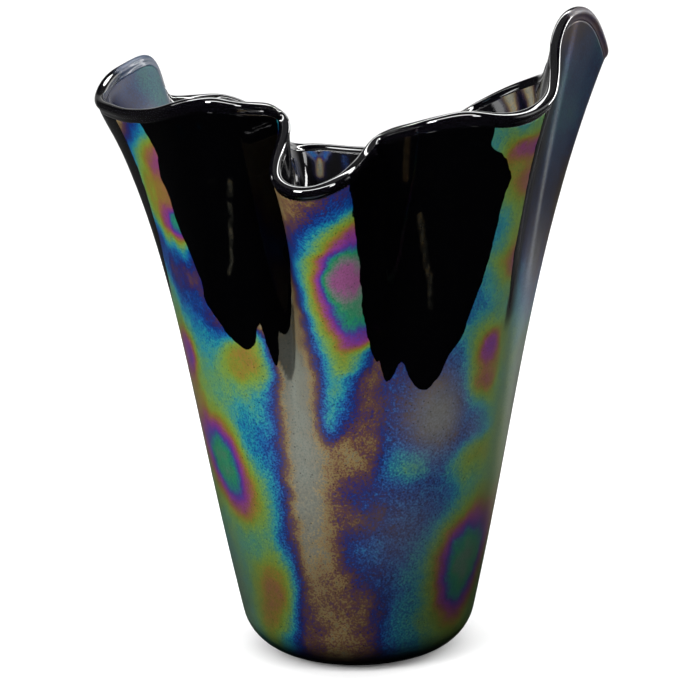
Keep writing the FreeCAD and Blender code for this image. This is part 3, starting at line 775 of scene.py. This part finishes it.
# The fume drifts over the wrap on the outside of the tall peak and on the inside of the back flap
lip_points = points_of(wrap)
lip_bearing, lip_height = bearings_of(lip_points), lip_points[:, 2]
row = np.arange(len(lip_points)) // COLUMNS / (WRAP_SIDES - 1)
over_peak = smooth(lip_bearing, 66, 71) * (1 - smooth(lip_bearing, 92, 98))
over_peak *= (1 - smooth(row, 0.42, 0.5)) * (lip_height > 215)
over_flap = 0.9 * smooth(-lip_bearing, 103, 109) * (1 - smooth(-lip_bearing, 124, 127))
over_flap *= smooth(row, 0.5, 0.58) * (lip_height > 205)
mark(wrap, "fume_satin_and_glint", np.maximum(over_peak, over_flap))
mark(wrap, "film", np.where(lip_bearing > 0, PEAK_FILM, FLAP_FILM))
CLOUD_SCALE = 120.0
LIP_DARK, LIP_PALE = (0.0006, 0.0006, 0.0009, 1), (0.0030, 0.0026, 0.0042, 1)
lip_glass, tree, shader = new_material("lip_glass")
veil_and_glint = read(tree, "fume_satin_and_glint")
fume = put(tree, "ShaderNodeGroup", {"Film": read(tree, "film")}, node_tree=fume_colours)
cloud = noise(tree, CLOUD_SCALE, 3.0)
clouded = blend_colours(tree, cloud, LIP_DARK, LIP_PALE)
faint = maths(tree, "MULTIPLY", veil_and_glint, 0.35)
tree.links.new(blend_colours(tree, faint, clouded, fume.outputs["Color"]),
               shader.inputs["Base Color"])
gloss = maths(tree, "MULTIPLY_ADD", cloud, 0.04, 0.015)
tree.links.new(maths(tree, "MULTIPLY_ADD", veil_and_glint, 0.45, gloss), shader.inputs["Roughness"])
shader.inputs["Specular IOR Level"].default_value = 1.0
tree.links.new(maths(tree, "MULTIPLY_ADD", veil_and_glint, -0.95, 1.0), shader.inputs["Coat Weight"])
shader.inputs["Coat Roughness"].default_value = 0.03
shader.inputs["Coat IOR"].default_value = 2.0
waves = put(tree, "ShaderNodeGroup", {"Size": 90.0, "Fine": 0.0}, node_tree=hand_waves)
raise_skin(tree, shader, waves.outputs[0], 0.0006, 0.3)
wrap.data.materials.append(lip_glass)
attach(wrap, "root")
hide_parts("lip_wrap")

# ---------------------------------------------------------------------------------------------
# Pontil button. The low wafer of glass left in the hollow under the base, where the vase was
# cracked off its iron: uneven, a little chipped at the edge and satin where it broke.

BUTTON_DEPTH = 2.0
BUTTON_Z = KICK_DEPTH - BUTTON_DEPTH
BUTTON_COLUMNS = 160
turn = np.arange(BUTTON_COLUMNS) * 360 / BUTTON_COLUMNS
# Chips round its edge: depth, how many round, and where they start
CHIPS = [(0.10, 3, 20), (0.07, 7, 110), (0.06, 13, 40), (0.05, 23, 200)]
chips = sum(deep * np.sin(np.radians(turn * many + start)) for deep, many, start in CHIPS)
# Its section from the middle out: share of the radius, and height over its lowest point
section = [(0.12, 0.02), (0.3, 0.06), (0.5, 0.17), (0.68, 0.34), (0.82, 0.62), (0.92, 0.95),
           (0.96, 1.15), (0.985, 1.5), (1.0, 1.85), (1.0, 2.0)]
rings = []
for share, up in section:
    ripple = chips * share**4
    rings.append(place(turn, BUTTON_R * share + np.minimum(ripple - 0.2, 0) * (share > 0.6),
                       np.minimum(BUTTON_Z + up + np.abs(ripple) * (up < 1.9), KICK_DEPTH)))
rings.append(place(turn, BUTTON_R * 0.5, KICK_DEPTH))
button = ring_mesh("pontil_button_glass", rings[::-1], poles=[(0, 0, KICK_DEPTH), (0, 0, BUTTON_Z)])
BROKEN_SCALE = 260.0
BROKEN_DARK, BROKEN_PALE = (0.002, 0.002, 0.003, 1), (0.02, 0.019, 0.022, 1)
button_glass, tree, shader = new_material("button_glass")
broken = noise(tree, BROKEN_SCALE, 5.0)
tree.links.new(blend_colours(tree, broken, BROKEN_DARK, BROKEN_PALE), shader.inputs["Base Color"])
tree.links.new(maths(tree, "MULTIPLY_ADD", broken, 0.5, 0.08), shader.inputs["Roughness"])
raise_skin(tree, shader, broken, 0.0006, 0.7)
button.data.materials.append(button_glass)
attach(button, "root")
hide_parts("pontil_button")

# ---------------------------------------------------------------------------------------------
# Stage. A plain pale floor that sweeps up into a pale wall all round, soft studio lights and the
# camera. Mirror rays see a dark room in front and a bright one behind, as black glass does when
# it stands on a lit table. Sizes here are in metres.

# The sweep from floor to wall: distance from the vase, and height
SWEEP = [(0.0, 0.0), (0.6, 0.0), (1.2, 0.0), (1.7, 0.0), (2.1, 0.05), (2.45, 0.22), (2.7, 0.55),
         (2.8, 1.0), (2.8, 2.2), (2.8, 3.4)]
SWEEP_COLUMNS = 96
stage_mesh = bpy.data.meshes.new("studio_floor")
angles = np.radians(np.arange(SWEEP_COLUMNS) * 360 / SWEEP_COLUMNS)
ring_points = [(r * math.sin(a), -r * math.cos(a), z) for r, z in SWEEP[1:] for a in angles]
stage_faces = [(k * SWEEP_COLUMNS + i, k * SWEEP_COLUMNS + (i + 1) % SWEEP_COLUMNS,
                (k + 1) * SWEEP_COLUMNS + (i + 1) % SWEEP_COLUMNS, (k + 1) * SWEEP_COLUMNS + i)
               for k in range(len(SWEEP) - 2) for i in range(SWEEP_COLUMNS)]
centre = len(ring_points)
stage_faces += [(centre, (i + 1) % SWEEP_COLUMNS, i) for i in range(SWEEP_COLUMNS)]
stage_mesh.from_pydata(ring_points + [(0, 0, 0)], [], stage_faces)
stage_mesh.shade_smooth()
studio = bpy.data.objects.new("studio_floor", stage_mesh)
bpy.context.scene.collection.objects.link(studio)
PALE_PAINT = (0.82, 0.82, 0.82, 1)
studio_paint, tree, shader = new_material("studio_paint")
shader.inputs["Base Color"].default_value = PALE_PAINT
shader.inputs["Roughness"].default_value = 0.9
shader.inputs["Specular IOR Level"].default_value = 0.0
# Mirror rays see it dark in front, to the left, low down and high up
split = put(tree, "ShaderNodeSeparateXYZ", {0: object_place(tree)})
behind = eased(tree, split.outputs["Y"], 0.1, 1.2, 0.003, 1.0)
left_dark = eased(tree, split.outputs["X"], -1.2, 0.2, 0.015, 1.0)
low_dark = eased(tree, split.outputs["Z"], 0.0, 0.3, 0.15, 1.0)
high_dark = eased(tree, split.outputs["Z"], 0.5, 1.3, 1.0, 0.03)
room = maths(tree, "MULTIPLY", maths(tree, "MULTIPLY", behind, left_dark), low_dark)
seen = put(tree, "ShaderNodeEmission", {"Strength": maths(tree, "MULTIPLY", room, high_dark)})
wall_glow = eased(tree, split.outputs["Z"], 0.0, 0.5, 0.0, 0.7)
shader.inputs["Emission Color"].default_value = (1, 1, 1, 1)
tree.links.new(wall_glow, shader.inputs["Emission Strength"])
rays = put(tree, "ShaderNodeLightPath")
mixed = put(tree, "ShaderNodeMixShader", {0: rays.outputs["Is Glossy Ray"], 1: shader.outputs[0],
                                          2: seen.outputs[0]})
tree.links.new(mixed.outputs[0], tree.nodes["Material Output"].inputs["Surface"])
stage_mesh.materials.append(studio_paint)

LIT_POINT = Vector((0, 0, 0.12))


def softbox(name, at, wide, tall, power):
    """A soft rectangular light that faces the middle of the vase."""
    lamp = bpy.data.lights.new(name, "AREA")
    lamp.shape, lamp.size, lamp.size_y, lamp.energy = "RECTANGLE", wide, tall, power
    holder = bpy.data.objects.new(name, lamp)
    turn = (Vector(at) - LIT_POINT).to_track_quat("Z", "Y").to_matrix().to_4x4()
    holder.matrix_world = Matrix.Translation(at) @ turn
    bpy.context.scene.collection.objects.link(holder)


# Where each light stands, how wide and tall it is, and its power in watts
softbox("key_light", (-1.1, -1.1, 0.85), 0.5, 0.5, 15)
softbox("fill_light", (1.3, -1.0, 0.7), 0.4, 0.4, 4)
softbox("front_strip", (0.0, -0.9, 1.25), 2.8, 0.3, 15)
softbox("back_strip", (0.0, 0.8, 1.3), 2.8, 0.3, 13)
softbox("left_rim", (-1.1, 0.6, 0.75), 0.1, 0.5, 0.4)
softbox("right_rim", (1.1, 0.6, 0.45), 0.12, 0.9, 5)

AIR_LIGHT = 0.08
world = bpy.data.worlds.new("studio_air")
world.use_nodes = True
air = world.node_tree.nodes["Background"]
air.inputs["Color"].default_value = (1, 1, 1, 1)
air.inputs["Strength"].default_value = AIR_LIGHT
bpy.context.scene.world = world
bpy.context.scene.view_settings.view_transform = "Standard"

EYE, AIM = Vector((-0.0031, -0.850, 0.300)), Vector((-0.0031, 0.0, 0.1207))
ROLL, LENS = 0.0175, 115.04
camera = bpy.data.objects.new("camera", bpy.data.cameras.new("camera"))
back = (EYE - AIM).normalized()
level_right = Vector((0, 0, 1)).cross(back).normalized()
over = back.cross(level_right) * math.cos(ROLL) + level_right * math.sin(ROLL)
turn = Matrix((over.cross(back), over, back)).transposed().to_4x4()
camera.matrix_world = Matrix.Translation(EYE) @ turn
camera.data.lens = LENS
bpy.context.scene.collection.objects.link(camera)
bpy.context.scene.camera = camera
